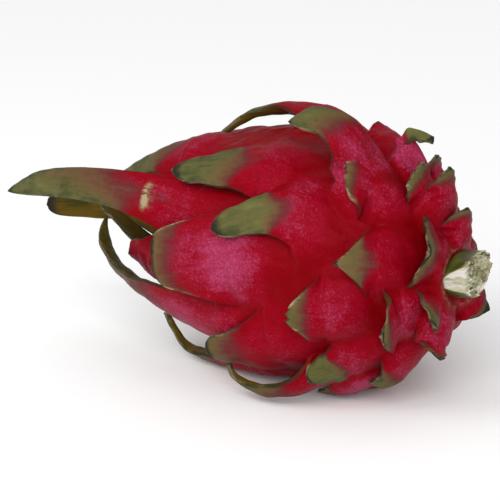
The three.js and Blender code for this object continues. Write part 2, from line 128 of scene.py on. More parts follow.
def moundHeight(bract, ahead, aside):
    # a smooth climb up to the free line, a short drop past it, and a round top across
    climb = smooth(ahead / bract["run"] + 1)
    rise = np.where(ahead < 0, climb ** mound["climb"], 1 - smooth(ahead / mound["drop"]))
    half = bract["spread"] * bract["wide"] * (mound["rootShare"] + (1 - mound["rootShare"]) * climb)
    across = np.clip(np.abs(aside) / half, 0, 1)
    ridge = 1 + bract["keel"] * np.exp(-(aside / 2.4) ** 2)
    rise = bract["rise"] * rise * ridge + fillet(bract, ahead) * rise
    return rise * (1 - across ** 2) ** mound["roundness"]


def dimpleShare(along):
    return smooth(along / body["dimpleRadius"])


# bracts, in the order: long crown straps, arched straps, flank, shoulder, stem ring, underside
crownBracts = [
    dict(along=104, around=68, veer=-6, lift=25, curl=-36, bend=21, reach=101, wide=28, narrow=5,
         tongue=0.44, blunt=4.5, thick=2.2, green=0.06, fade=0.70, blush=0.30, paintedSheen=0.6,
         scar=(0.19, 0.05)),
    dict(along=128, around=29, veer=10, lift=12, curl=-20, reach=46, wide=28, tongue=0.5, rise=7,
         thick=2.2, green=-0.1, fade=0.7, blush=0.3),
    dict(along=128, around=335, lift=14, curl=-4, bend=5, reach=34, wide=26, tongue=0.35, rise=5),
    dict(along=150, around=280, veer=3, lift=19, reach=74, wide=20, tongue=0.55, blunt=14, point=0.4,
         thick=2.0, rise=5, dark=0.12),
    dict(along=150, around=225, lift=21, reach=60, wide=20, rise=5),
    dict(along=151, around=144, veer=-22, lift=26, reach=39, wide=25, tongue=0.62, blunt=8, point=0.5,
         thick=2.0, rise=5, green=-0.5),
    dict(along=142, around=114, lift=24, reach=18, wide=24, tongue=0.6, blunt=6, rise=5, green=0.9),
    dict(along=158, around=60, lift=26, curl=12, reach=27, wide=18, rise=4),
    dict(along=160, around=330, lift=24, curl=10, reach=25, wide=18, rise=4),
]
archedBracts = [
    dict(along=93, around=120, lift=-2, curl=-50, bend=6, reach=112, wide=26, tongue=0.34, late=1.9,
         twist=-45, thick=3.0, green=0.14, fade=0.95, paintedSheen=1.0),
    dict(along=60, around=147, veer=-28, lift=38, curl=-97, bend=30, reach=44, wide=26, tongue=0.22,
         thick=2.2, narrow=3, green=0.2, fade=0.6),
    dict(along=96, around=160, lift=24, curl=-67, reach=58, wide=26, tongue=0.24, narrow=3, thick=2.2,
         green=0.15, fade=0.6),
    dict(along=86, around=353, veer=8, lift=8, curl=-62, bend=5, reach=53, wide=26, tongue=0.22,
         narrow=3.5, thick=2.0, rise=7, green=0.2, fade=0.6),
    dict(along=49, around=30, veer=-24, lift=70, curl=-124, bend=44, reach=37, wide=19, tongue=0.68,
         spread=0.92, narrow=4, blunt=5, thick=2.6, rise=9, cup=0.14, late=0.9, green=0.30, fade=0.42,
         blush=-0.2, paintedSheen=1.0),
]
flankBracts = [
    dict(along=83, around=84, veer=7, lift=6, bend=4, reach=34, wide=35, tongue=0.55, narrow=1,
         blunt=20, point=0.35, cup=0.1, green=0.62, fade=0.50, torn=0.03, tan=0.5, paintedSheen=1.40),
    dict(along=64, around=59, veer=22, lift=4, curl=-9, bend=13, reach=29, wide=26, tongue=0.45,
         spread=0.81, narrow=4, blunt=6, point=0.5, thick=3.2, green=-0.10, fade=0.45, blush=-0.20,
         dark=0.24, fold=1, paintedSheen=0.9),
    dict(along=80, around=43, veer=16, lift=0, curl=-3, reach=37, wide=27, tongue=0.48, spread=0.73,
         narrow=2.8, blunt=5, point=0.55, thick=2.6, rise=8, green=-0.02, fade=0.60, blush=-0.25,
         dark=0.20, fold=0.4, paintedSheen=0.6),
    dict(along=70, around=124, veer=5, lift=8, curl=-8, bend=-3, reach=29, wide=30, tongue=0.40,
         narrow=1.4, blunt=16, point=0.45, green=0.35, fade=0.8, paintedSheen=0.6),
    dict(along=108, around=312, veer=-5, lift=0, curl=-4, reach=34, wide=26, rise=4),
]
shoulderBracts = [
    dict(along=41, around=35, veer=18, lift=25, curl=-10, bend=15, reach=13, wide=22, tongue=0.8,
         narrow=1.5, blunt=4, point=0.5, rise=7, cup=0.06, torn=0.16, green=0.52, fade=0.5, tan=0.5),
    dict(along=30, around=10, veer=20, lift=24, curl=-14, reach=9, wide=21, tongue=0.75, narrow=1.2,
         blunt=5, point=0.5, rise=7, cup=0.15, torn=0.20, green=0.34, fade=0.5),
    dict(along=35, around=350, veer=20, lift=52, reach=6.5, wide=20, tongue=0.55, narrow=1.4, rise=6,
         paintedSheen=1.1),
    dict(along=46, around=3, veer=15, lift=122, curl=42, reach=11, wide=9, tongue=0.28, spread=1.5,
         narrow=5, blunt=8, point=0.5, rise=8.5, cup=0.08, late=0.8, paddle=0.40, thick=2.4, green=0.0,
         fade=0.3, keel=0.35, leafy=1, paintedSheen=1.1),
    dict(along=58, around=350, lift=8, reach=8, wide=26, tongue=0.5, narrow=1.4, rise=5, green=0.9),
    dict(along=32, around=74, veer=8, lift=16, bend=6, reach=16, wide=24, tongue=0.3, narrow=1,
         spread=0.70, blunt=2, point=1, cup=0.12, green=-0.08, fade=0.80, tan=0.6, paintedSheen=0.65),
    dict(along=48, around=104, veer=-6, lift=12, bend=-4, reach=14, wide=26, tongue=0.5, narrow=1.2,
         cup=0.12, torn=0.2, green=0.28, fade=0.6, paintedSheen=0.75),
    dict(along=48, around=138, lift=10, curl=-4, reach=15, wide=19, tongue=0.75, spread=0.78,
         narrow=1.6, blunt=6, point=0.5, thick=2.4, green=-0.08, fade=0.42),
    dict(along=52, around=160, lift=10, curl=-4, reach=20, wide=26, narrow=1.7, rise=7, paintedSheen=1.0),
    dict(along=34, around=160, veer=-8, lift=36, curl=-84, bend=-10, reach=17, wide=24, narrow=1.4,
         green=0.2),
    dict(along=25, around=116, veer=-10, lift=40, curl=-10, bend=-10, reach=12, wide=26, tongue=0.5,
         narrow=1, cup=0.1, paintedSheen=0.95),
]
stemRingBracts = [
    dict(along=26, around=0, veer=4, lift=45, curl=-12, reach=9, wide=20, tongue=0.4, narrow=1.2,
         rise=9, cup=0.25, run=15, spread=0.75, green=0.30, fade=0.8),
    dict(along=13, around=56, veer=6, lift=42, curl=-22, bend=6, reach=13, wide=28, tongue=0.75,
         narrow=1, blunt=2.5, point=0.6, rise=5, cup=0.28, green=0.38, fade=0.7),
    dict(along=12, around=122, lift=42, curl=-10, reach=12, wide=22, tongue=0.6, narrow=1.2, rise=5,
         cup=0.2, green=0.4),
    dict(along=12, around=225, lift=35, curl=-10, reach=8, wide=19, tongue=0.6, narrow=1.2, rise=8,
         cup=0.22, dark=0.5, green=0.4),
    dict(along=20, around=150, lift=52, curl=10, reach=6, wide=15, tongue=0.5, narrow=1.2, rise=10,
         spread=0.95, cup=0.1, paintedSheen=0.95, green=0.65),
    dict(along=14, around=343, veer=14, lift=24, curl=-24, reach=9, wide=20, tongue=0.75, narrow=1.2,
         rise=7, cup=0.28),
    dict(along=17, around=280, lift=12, curl=-10, reach=6, wide=24, tongue=0.6, narrow=1.2, rise=4,
         cup=0.1),
    dict(along=31, around=298, lift=8, curl=-10, bend=5, reach=7, wide=22, tongue=0.5, narrow=1.2,
         rise=2.5, cup=0.1),
    dict(along=33, around=258, lift=12, curl=-10, bend=-5, reach=9, wide=26, tongue=0.5, narrow=1.2,
         rise=5, cup=0.1),
    dict(along=30, around=222, lift=12, curl=-10, bend=5, reach=9, wide=26, tongue=0.5, narrow=1.2,
         rise=5, cup=0.1),
]
undersideBracts = [
    dict(along=60, around=186, lift=2, curl=-6, reach=24, wide=28, rise=9),
    dict(along=86, around=180, lift=2, curl=-6, reach=32, wide=28, rise=8.5),
    dict(along=110, around=186, lift=2, curl=-6, reach=36, wide=26, rise=9.5),
]

# The rule for the far side: steps of the golden angle, kept where they land clear of the others.
spiral = dict(count=48, turn=137.5, start=20, first=14, span=140, crowd=0.95, spacing=19,
              fromAround=178, toAround=352, fromAlong=38)
farShape = dict(veer=(0, 0, 8), lift=(36, 4, 6), curl=(0, -26, 10), bend=(0, 0, 20), reach=(13, 53, 4),
                wide=(28, 24, 0), tongue=(0.5, 0.35, 0), narrow=(1.4, 2.8, 0), rise=(6.5, 6.5, 0))
farFull = 150


def draw(number):
    # a repeatable draw between -1 and 1
    wave = np.sin(number * 12.9898) * 43758.5453
    return float(2 * (wave - np.floor(wave)) - 1)


def farBracts(others):
    found = []
    for step in range(spiral["count"]):
        along = spiral["first"] + spiral["span"] * (step / (spiral["count"] - 1)) ** spiral["crowd"]
        around = (step * spiral["turn"] + spiral["start"]) % 360
        if not spiral["fromAround"] < around < spiral["toAround"] or along < spiral["fromAlong"]:
            continue
        gaps = [np.hypot(along - other["along"],
                         radiusAt(along) * smoothTurn(np.radians(around - other["around"])))
                for other in others + found]
        if min(gaps) < spiral["spacing"]:
            continue
        bract = dict(plain, along=along, around=around)
        for order, (trait, (near, far, chance)) in enumerate(farShape.items()):
            bract[trait] = near + (far - near) * along / farFull + chance * draw(step + order / 10)
        found.append(bract)
    return found


bracts = [dict(plain, **bract) for bract in crownBracts + archedBracts + flankBracts + shoulderBracts
          + stemRingBracts + undersideBracts]
bracts += farBracts(bracts)
print(len(bracts), "bracts placed")


def swell(points, size, seed):
    # soft unevenness between -1 and 1: a sum of sine waves of about that size in drawn directions
    rng = np.random.default_rng(seed)
    total = np.zeros(points.shape[:-1])
    for _ in range(9):
        way = rng.normal(size=3)
        way *= 2 * np.pi / (size * rng.uniform(0.7, 1.6) * np.linalg.norm(way))
        total += np.sin(points @ way + rng.uniform(0, 2 * np.pi))
    return total / 4.5


def unevenness(point, along):
    # the skin's soft bumps in two sizes, fading out towards both poles
    calm = smooth(along / 20) * smooth((skinLength - along) / 12)
    return body["swell"] * (swell(point, 17, 4) + 0.4 * swell(point, 6, 5)) * calm


def relief(along, around):
    # height of the mounds together, (sum of heights^blend)^(1/blend), less the navel; the painted shade
    # and sheen, which grows with the highest mound's height and with how far it stands out of the next one,
    # none in the valleys where two of them meet, so that the colour paints shade in the hollows and a sheen
    # on the crests; and the greenness that the highest bract has there, less with the distance from its free
    # line
    radius = radiusAt(along)
    total, highest, second = np.zeros_like(along), np.zeros_like(along), np.zeros_like(along)
    paintedSheen, green = np.ones_like(along), np.full_like(along, -1)
    for bract in bracts:
        aside = radius * smoothTurn(around - np.radians(bract["around"]))
        ahead = along - bract["along"]
        veer = np.radians(bract["veer"])
        ahead, aside = (ahead * np.cos(veer) + aside * np.sin(veer),
                        aside * np.cos(veer) - ahead * np.sin(veer))
        height = moundHeight(bract, ahead, aside)
        total += height ** mound["blend"]
        second = np.maximum(second, np.minimum(highest, height))
        paintedSheen = np.where(height > highest, bract["paintedSheen"], paintedSheen)
        greenHere = (-np.abs(ahead) / bract["reach"] - bract["green"]) / bract["fade"]
        greenHere = greenHere - (aside / (0.35 * bract["wide"])) ** 2
        green = np.where(height > highest, greenHere, green)
        highest = np.maximum(highest, height)
    navel = body["navelDepth"] * np.exp(-((skinLength - along) / body["navelRadius"]) ** 2)
    # painted shade in the valleys where two mounds meet, painted sheen on the high crests, each bract's share
    # of sheen set by its own trait
    standsOut = 0.2 + 0.8 * smooth((highest - second) / mound["valleyShade"])
    paintedShadeAndSheen = paintedSheen * np.clip(highest / 6, 0, 1) * standsOut
    height = total ** (1 / mound["blend"]) * dimpleShare(along) - navel
    return height, paintedShadeAndSheen, np.clip(green, -1, 0.5)


def aboveFloor(height, gap, ease):
    # keeps a height above the gap, easing in exponentially
    eased = gap + ease
    easing = gap + ease * np.exp((np.minimum(height, eased) - eased) / ease)
    return np.where(height < eased, easing, height)


def setMarks(mesh, marks):
    # vertex attributes: a number for each point, or a vector where the values have three columns
    for mark, values in marks.items():
        values = np.asarray(values, np.float32)
        kind, field = ("FLOAT_VECTOR", "vector") if values.ndim == 2 else ("FLOAT", "value")
        layer = mesh.attributes.new(mark, kind, "POINT")
        layer.data.foreach_set(field, values.ravel())


def makeMesh(name, points, groups, material, marks):
    # points in mm as (n, 3), groups of faces as (m, corners) each, marks as vertex attributes
    mesh = bpy.data.meshes.new(name)
    corners = np.concatenate([np.asarray(group, np.int32).ravel() for group in groups])
    sizes = np.concatenate([np.full(len(group), np.asarray(group).shape[1]) for group in groups])
    mesh.vertices.add(len(points))
    mesh.vertices.foreach_set("co", (points * mm).astype(np.float32).ravel())
    mesh.loops.add(len(corners))
    mesh.loops.foreach_set("vertex_index", corners)
    mesh.polygons.add(len(sizes))
    starts = np.concatenate([[0], np.cumsum(sizes)[:-1]])
    mesh.polygons.foreach_set("loop_start", starts.astype(np.int32))
    mesh.update(calc_edges=True)
    mesh.validate()
    setMarks(mesh, marks)
    mesh.shade_smooth()
    mesh.materials.append(material)
    piece = bpy.data.objects.new(name, mesh)
    bpy.context.scene.collection.objects.link(piece)
    return piece


def ringFaces(rows, columns):
    # quads of a grid of rings: rows one after the other, each closed on itself
    row, column = np.meshgrid(np.arange(rows - 1), np.arange(columns), indexing="ij")
    beside = (column + 1) % columns
    return np.stack([row * columns + column, (row + 1) * columns + column,
                     (row + 1) * columns + beside, row * columns + beside], -1).reshape(-1, 4)


# small helpers for node materials

def addNode(tree, kind, settings=None, inputs=None):
    # a node with its settings, and its inputs given as values or as other nodes' outputs
    node = tree.nodes.new(kind)
    for name, value in (settings or {}).items():
        setattr(node, name, value)
    for name, value in (inputs or {}).items():
        if isinstance(value, bpy.types.NodeSocket):
            tree.links.new(value, node.inputs[name])
        else:
            node.inputs[name].default_value = value
    return node


def attribute(tree, name):
    return addNode(tree, "ShaderNodeAttribute", {"attribute_name": name}).outputs["Fac"]


def mixColour(tree, share, first, second):
    # first where share is 0, second where it is 1
    node = addNode(tree, "ShaderNodeMix", {"data_type": "RGBA"}, {0: share})
    for slot, value in ((6, first), (7, second)):
        if isinstance(value, bpy.types.NodeSocket):
            tree.links.new(value, node.inputs[slot])
        else:
            node.inputs[slot].default_value = (*value, 1)
    return node.outputs[2]


def maths(tree, operation, first, second=0.0):
    return addNode(tree, "ShaderNodeMath", {"operation": operation}, {0: first, 1: second}).outputs[0]


def plus(tree, first, second):
    return maths(tree, "ADD", first, second)


def times(tree, first, second):
    return maths(tree, "MULTIPLY", first, second)


def fadeTo(tree, value, low, high, fromValue=0.0, toValue=1.0):
    # smooth step of a value between low and high
    return addNode(tree, "ShaderNodeMapRange", {"interpolation_type": "SMOOTHSTEP"},
                   {"Value": value, "From Min": low, "From Max": high, "To Min": fromValue,
                    "To Max": toValue}).outputs[0]


def noise(tree, coords, scale, detail=3.0, roughness=0.5, distortion=0.0):
    return addNode(tree, "ShaderNodeTexNoise", None,
                   {"Vector": coords, "Scale": scale, "Detail": detail, "Roughness": roughness,
                    "Distortion": distortion}).outputs["Fac"]


def objectCoords(tree, stretch=(1, 1, 1)):
    coords = addNode(tree, "ShaderNodeTexCoord").outputs["Object"]
    return addNode(tree, "ShaderNodeMapping", None, {"Vector": coords, "Scale": stretch}).outputs[0]


def centred(tree, value):
    return maths(tree, "SUBTRACT", value, 0.5)


def newMaterial(name):
    material = bpy.data.materials.new(name)
    material.use_nodes = True
    tree = material.node_tree
    tree.nodes.clear()
    shader = addNode(tree, "ShaderNodeBsdfPrincipled")
    out = addNode(tree, "ShaderNodeOutputMaterial")
    tree.links.new(shader.outputs[0], out.inputs["Surface"])
    return material, tree, shader


# the deepest crimson is painted shade for the hollows, the pink a painted sheen for the crests, and the
# brightest green partly a painted sheen on green crests; the other tones are the skin's own
skinLook = dict(valleyShade=(0.170, 0.0002, 0.002), crimson=(0.205, 0.0006, 0.007), sheenPink=(0.285, 0.030, 0.082),
                speckle=(0.40, 0.07, 0.13), pit=(0.105, 0.0004, 0.006),
                turning=(0.088, 0.016, 0.018), straw=(0.104, 0.062, 0.026), olive=(0.086, 0.084, 0.026),
                leaf=(0.038, 0.046, 0.015), lightGreenAndSheen=(0.120, 0.120, 0.038), tan=(0.160, 0.092, 0.040),
                dusk=(0.015, 0.018, 0.011), innerRoot=(0.08, 0.004, 0.005),
                innerOlive=(0.090, 0.056, 0.005), innerLeaf=(0.026, 0.028, 0.006), dry=(0.28, 0.22, 0.12),
                burnt=(0.028, 0.020, 0.010), roughness=0.44, roughnessSpread=0.07, specular=0.055,
                specularTint=(1.0, 0.40, 0.62, 1), sheen=0.006, sheenRough=0.45,
                sheenTint=(1.0, 0.80, 0.92, 1), bumpStrength=0.60, bumpDepth=0.0006)


def fruitSkin():
    # colour = deep crimson as painted shade in the hollows, crimson, and pink as a painted sheen on the
    # crests, blotched, streaked and speckled; then along each blade dull red, straw and mixed greens,
    # painted brighter on the crests as a sheen, dusky at the tip; on the inner face dark red, olive and leaf;
    # dry and charred margins over all
    material, tree, shader = newMaterial("fruitSkin")
    look = skinLook
    coords = objectCoords(tree)
    grain = addNode(tree, "ShaderNodeAttribute", {"attribute_name": "grain"}).outputs["Vector"]
    folded = addNode(tree, "ShaderNodeMapping", None, {"Vector": grain, "Scale": (5, 0.15, 1)}).outputs[0]
    broad = noise(tree, coords, 42, 3)
    blotch = noise(tree, coords, 170, 4, 0.6)
    pores = noise(tree, coords, 1400, 2, 0.6)
    streak = noise(tree, grain, 520, 5, 0.62)
    wideStreak = noise(tree, grain, 150, 3, 0.6)
    # painted shade and sheen by the mounds' height, broken up by blotches and streaks: painted shade in the
    # hollows, crimson between, a painted pink sheen on the crests
    paintedShadeAndSheen = plus(tree, attribute(tree, "paintedShadeAndSheen"), times(tree, centred(tree, broad), 0.9))
    paintedShadeAndSheen = plus(tree, paintedShadeAndSheen, times(tree, centred(tree, blotch), 0.6))
    paintedShadeAndSheen = plus(tree, paintedShadeAndSheen, times(tree, centred(tree, streak), 0.9))
    paintedShadeAndSheen = plus(tree, paintedShadeAndSheen, times(tree, centred(tree, wideStreak), 0.5))
    red = mixColour(tree, fadeTo(tree, paintedShadeAndSheen, 0.05, 0.55), look["valleyShade"], look["crimson"])
    red = mixColour(tree, fadeTo(tree, paintedShadeAndSheen, 0.60, 1.50), red, look["sheenPink"])
    # pale speckles, fewer where the painted shade lies and more under the painted sheen
    speckle = times(tree, fadeTo(tree, pores, 0.54, 0.68, 0, 0.34), fadeTo(tree, paintedShadeAndSheen, 0.3, 1.0))
    red = mixColour(tree, speckle, red, look["speckle"])
    red = mixColour(tree, fadeTo(tree, pores, 0.47, 0.34, 0, 0.45), red, look["pit"])
    mottle = plus(tree, times(tree, centred(tree, wideStreak), 0.40),
                   times(tree, centred(tree, streak), 0.55))
    mottle = plus(tree, mottle, times(tree, centred(tree, blotch), 0.35))
    mottle = plus(tree, mottle, times(tree, centred(tree, pores), 0.25))
    green = plus(tree, attribute(tree, "green"), mottle)
    outer = mixColour(tree, fadeTo(tree, green, -0.10, 0.45), red, look["turning"])
    # green tones: lighter and darker streaks, and painted brighter on the crests as a painted sheen
    grassy = plus(tree, times(tree, wideStreak, 0.5), times(tree, streak, 0.4))
    grassy = plus(tree, grassy, times(tree, blotch, 0.4))
    grassy = maths(tree, "SUBTRACT", grassy, times(tree, attribute(tree, "paintedShadeAndSheen"), 0.25))
    leafy = mixColour(tree, fadeTo(tree, grassy, 0.28, 0.46), look["lightGreenAndSheen"], look["olive"])
    leafy = mixColour(tree, fadeTo(tree, grassy, 0.44, 0.66), leafy, look["leaf"])
    leafy = mixColour(tree, attribute(tree, "tan"), leafy, look["tan"])
    outer = mixColour(tree, fadeTo(tree, green, 0.20, 0.75), outer, look["straw"])
    outer = mixColour(tree, fadeTo(tree, green, 0.50, 1.05), outer, leafy)
    dusk = plus(tree, attribute(tree, "dusk"), times(tree, mottle, 0.8))
    outer = mixColour(tree, fadeTo(tree, dusk, 0.35, 1.0), outer, look["dusk"])
    innerTone = mixColour(tree, fadeTo(tree, plus(tree, attribute(tree, "outward"), mottle), 0.0, 0.5),
                          look["innerRoot"], look["innerOlive"])
    innerTone = mixColour(tree, fadeTo(tree, wideStreak, 0.44, 0.62, 0, 0.8), innerTone, look["innerLeaf"])
    innerTone = mixColour(tree, fadeTo(tree, dusk, 0.35, 1.0), innerTone, look["dusk"])
    colour = mixColour(tree, attribute(tree, "inner"), outer, innerTone)
    patches = fadeTo(tree, noise(tree, coords, 260, 4, 0.6), 0.34, 0.54)
    dryness = times(tree, attribute(tree, "dry"), patches)
    charred = maths(tree, "SUBTRACT", noise(tree, grain, 700, 4, 0.65),
                    times(tree, attribute(tree, "dry"), 0.08))
    dryTone = mixColour(tree, fadeTo(tree, charred, 0.42, 0.58), look["dry"], look["burnt"])
    colour = mixColour(tree, dryness, colour, dryTone)
    tree.links.new(colour, shader.inputs["Base Color"])
    smoothest = look["roughness"] - look["roughnessSpread"]
    roughest = look["roughness"] + look["roughnessSpread"]
    gloss = fadeTo(tree, blotch, 0.3, 0.7, smoothest, roughest)
    gloss = plus(tree, gloss, times(tree, dryness, 0.35))
    tree.links.new(gloss, shader.inputs["Roughness"])
    shader.inputs["Specular IOR Level"].default_value = look["specular"]
    shader.inputs["Specular Tint"].default_value = look["specularTint"]
    shader.inputs["Sheen Weight"].default_value = look["sheen"]
    shader.inputs["Sheen Roughness"].default_value = look["sheenRough"]
    shader.inputs["Sheen Tint"].default_value = look["sheenTint"]
    # bump = streaks along the grain, blotches, pores, and creases across the folds
    relievo = plus(tree, times(tree, streak, 0.8), times(tree, pores, 0.18))
    relievo = plus(tree, relievo, times(tree, blotch, 0.9))
    creases = times(tree, noise(tree, folded, 620, 3, 0.5), attribute(tree, "fold"))
    relievo = plus(tree, relievo, times(tree, creases, 2.2))
    bump = addNode(tree, "ShaderNodeBump", None, {"Height": relievo, "Strength": look["bumpStrength"],
                                                  "Distance": look["bumpDepth"]})
    tree.links.new(bump.outputs[0], shader.inputs["Normal"])
    return material


def makeBody(material):
    # the bare skin raised along its normal by the relief and the soft unevenness, on a grid of
    # rings from the stem pole to the blossom pole, with one point at each pole
    rows, columns = body["rowsAlong"], body["rowsAround"]
    along = np.linspace(0, skinLength, rows + 1)[1:-1]
    around = np.linspace(0, 2 * np.pi, columns, endpoint=False)
    along, around = np.meshgrid(along, around, indexing="ij")
    point, normal, _, _ = skinAt(along, around)
    height, paintedShadeAndSheen, green = relief(along, around)
    uneven = unevenness(point, along)
    collar = body["collarHeight"] * np.exp(-((along - body["collarAt"]) / body["collarWidth"]) ** 2)
    surface = point + normal * (height + uneven + collar)[..., None]
    surface[..., 2] = aboveFloor(surface[..., 2], 0.0, 1.5)
    stemPole = np.array([[body["stemReach"], 0, body["axisHeight"]]])
    blossomPole = np.array([[-body["blossomReach"] + body["navelDepth"], 0, body["axisHeight"]]])
    points = np.concatenate([surface.reshape(-1, 3), stemPole, blossomPole])
    count = surface.shape[0] * columns
    column = np.arange(columns)
    beside = (column + 1) % columns
    first = np.stack([np.full(columns, count), column, beside], -1)
    last = (surface.shape[0] - 1) * columns
    end = np.stack([last + column, np.full(columns, count + 1), last + beside], -1)
    faces = ringFaces(surface.shape[0], columns)
    # painted shade and sheen for the skin's colour, none at the poles
    paintedShadeAndSheen = np.append(paintedShadeAndSheen.ravel(), [0, 0])
    dry = np.append((collar / body["collarHeight"]).ravel(), [0, 1])
    zero = np.zeros(len(points))
    green = np.append(green.ravel(), [-1, -1])
    marks = dict(paintedShadeAndSheen=paintedShadeAndSheen, green=green, dusk=zero - 0.4, inner=zero, outward=zero, dry=dry * 0.4,
                 fold=zero, tan=zero, grain=points * (0.2 * mm, mm, mm))
    return makeMesh("fruitBody", points, [faces, first, end], material, marks)


def bladePath(bract):
    # middle line of the blade: it sets off at the lift and the veer, and turns by the curl and the
    # bend times share^late; the line is the running sum of its headings, kept above the floor
    share = 1 - (1 - np.linspace(0, 1, blade["freeRows"] + 1)) ** blade["crowd"]
    point, normal, tangent, side = skinAt(bract["along"], np.radians(bract["around"]))
    start = point + normal * bract["rise"] * dimpleShare(bract["along"])
    lift = np.radians(bract["lift"] + bract["curl"] * share ** bract["late"])[:, None]
    yaw = np.radians(bract["veer"] + bract["bend"] * share ** bract["late"])[:, None]
    heading = np.cos(lift) * (np.cos(yaw) * tangent + np.sin(yaw) * side) + np.sin(lift) * normal
    sideways = np.cos(yaw) * side - np.sin(yaw) * tangent
    middle = heading[1:] + heading[:-1]
    middle *= (np.diff(share) * bract["reach"] / np.linalg.norm(middle, axis=1))[:, None]
    line = np.concatenate([[start], start + np.cumsum(middle, 0)])
    gap, ease = blade["floorGap"], blade["floorEase"]
    lowRoot = start[2] < gap + ease
    rootLift = start[2] - aboveFloor(start[2], gap, ease)
    line[:, 2] = aboveFloor(line[:, 2], gap, ease)
    line[:, 2] += lowRoot * rootLift * (1 - smooth(share / blade["floorRootEnds"]))
    heading = np.gradient(line, axis=0)
    heading /= np.linalg.norm(heading, axis=1)[:, None]
    sideways = sideways - (sideways * heading).sum(1)[:, None] * heading
    sideways /= np.linalg.norm(sideways, axis=1)[:, None]
    outward = np.cross(heading, sideways)
    twist = np.radians(bract["twist"] * share ** 1.5)[:, None]
    turned = np.cos(twist) * sideways + np.sin(twist) * outward
    return share, line, turned, np.cos(twist) * outward - np.sin(twist) * sideways


def tear(bract, across, seed):
    # how much of the blade's end is torn away across it, as a share of its length
    rng = np.random.default_rng(seed)
    ragged = np.zeros_like(across)
    for turns in (3, 7, 13, 19):
        ragged += np.abs(np.sin(turns * across + rng.uniform(0, 6))) / np.sqrt(turns)
    return bract["torn"] * ragged / 1.4


def bladeGrid(bract, seed):
    # the blade's outer and inner face: root rows follow the mound, free rows follow the middle line
    across = np.sin(np.linspace(-1, 1, blade["across"]) * np.pi / 2)
    wide, veer = bract["wide"], np.radians(bract["veer"])
    # root rows
    ahead = np.linspace(-blade["rootLength"], 0, blade["rootRows"], endpoint=False)[:, None]
    share = mound["rootShare"] + (1 - mound["rootShare"]) * smooth(ahead / blade["rootLength"] + 1)
    aside = across[None, :] * wide * share / 2
    ahead = ahead + 0 * aside
    along = bract["along"] + ahead * np.cos(veer) - aside * np.sin(veer)
    offset = ahead * np.sin(veer) + aside * np.cos(veer)
    around = np.radians(bract["around"]) + offset / np.maximum(radiusAt(along), blade["tightest"])
    point, normal, _, _ = skinAt(along, around)
    sunk = blade["sunk"] * (1 - smooth(ahead / blade["sunkFade"] + 1))
    bumps = unevenness(point, along)
    height = moundHeight(bract, ahead, aside) * dimpleShare(along) - sunk + bumps
    rootPaintedShadeAndSheen = relief(along, around)[1]
    rootOuter = point + normal * height[..., None]
    rootInner = rootOuter - normal * blade["rootDepth"]
    # free rows, each taken at its own share of the length, so that a torn end is shorter
    pathShare, line, sideways, outward = bladePath(bract)
    share = pathShare[:, None] * (1 - tear(bract, across, seed)[None, :] * pathShare[:, None] ** 4)
    line, sideways, outward = [
        np.stack([np.interp(share, pathShare, values[:, axis]) for axis in range(3)], -1)
        for values in (line, sideways, outward)]
    taper = (1 - bract["tongue"]) * (1 - share) ** bract["narrow"] + bract["tongue"]
    tip = np.maximum(1 - share ** bract["blunt"], 0) ** bract["point"]
    paddle = bract["paddle"] * np.exp(-((share - 0.72) / 0.2) ** 2)
    width = np.maximum(wide * (taper + paddle) * tip, blade["tipWidth"])
    aside = across[None, :] * width / 2
    reached = np.clip(np.abs(aside) / (bract["spread"] * wide), 0, 1)
    rise = bract["rise"] * dimpleShare(bract["along"])
    bodyRadius = max(float(radiusAt(bract["along"])), blade["tightest"])
    likeMound = -aside ** 2 / (2 * bodyRadius) - rise * (1 - (1 - reached ** 2) ** mound["roundness"])
    likeMound += rise * bract["keel"] * np.exp(-(aside / 2.4) ** 2)
    likeMound += fillet(bract, share * bract["reach"]) * (1 - reached ** 2) ** mound["roundness"]
    cupped = -bract["cup"] * width * across[None, :] ** 2
    blendTo = smooth(share / blade["moundShapeEnds"])
    level = likeMound * (1 - blendTo) + cupped * blendTo
    phase = 2 * np.pi * draw(seed + 0.5)
    ripple = np.sin(2 * np.pi * blade["waveTurns"] * share + phase + 1.5 * np.sign(across)[None, :])
    level += blade["wave"] * ripple * across[None, :] ** 2 * smooth(share * 2)
    # ribs along the blade, a little wavy, and soft unevenness that takes over from the skin's
    spot = np.stack([share * bract["reach"], aside, 0 * aside + 40 * seed], -1)
    ribs = np.sin(2 * np.pi * (aside + 0.5 * swell(spot, 12, 21)) / blade["ribGap"])
    level += blade["rib"] * ribs * smooth(share * 4) * (0.6 + 0.4 * swell(spot, 7, 22))
    takeOver = smooth(share / blade["moundShapeEnds"])
    level += bumps[-1:] * (1 - takeOver) + blade["soft"] * swell(spot, blade["softSize"], 23) * takeOver
    thick = blade["rootThickness"] * (1 - share) ** blade["thinning"] + bract["thick"]
    thick = np.maximum(thick * (1 - blade["hollow"] * across[None, :] ** 2), blade["edgeThickness"])
    outer = line + sideways * aside[..., None] + outward * level[..., None]
    inner = outer - outward * thick[..., None]
    outer, inner = np.concatenate([rootOuter, outer]), np.concatenate([rootInner, inner])
    # painted sheen along the blade's middle, painted shade towards its margins, taking over from the skin's
    # painted shade and sheen at the root
    paintedSheen = np.minimum(bract["paintedSheen"], 0.9) + max(bract["paintedSheen"] - 0.9, 0) * (1 - smooth(share * 1.5))
    paintedShadeAndSheen = paintedSheen * (0.25 + 0.75 * (1 - across[None, :] ** 2)) * takeOver + rootPaintedShadeAndSheen[-1:] * (1 - takeOver)
    share = np.concatenate([ahead / bract["reach"], share])
    width = np.concatenate([wide + 0 * ahead, width])
    paintedShadeAndSheen = np.concatenate([rootPaintedShadeAndSheen, paintedShadeAndSheen])
    return outer, inner, share, across, width, paintedShadeAndSheen


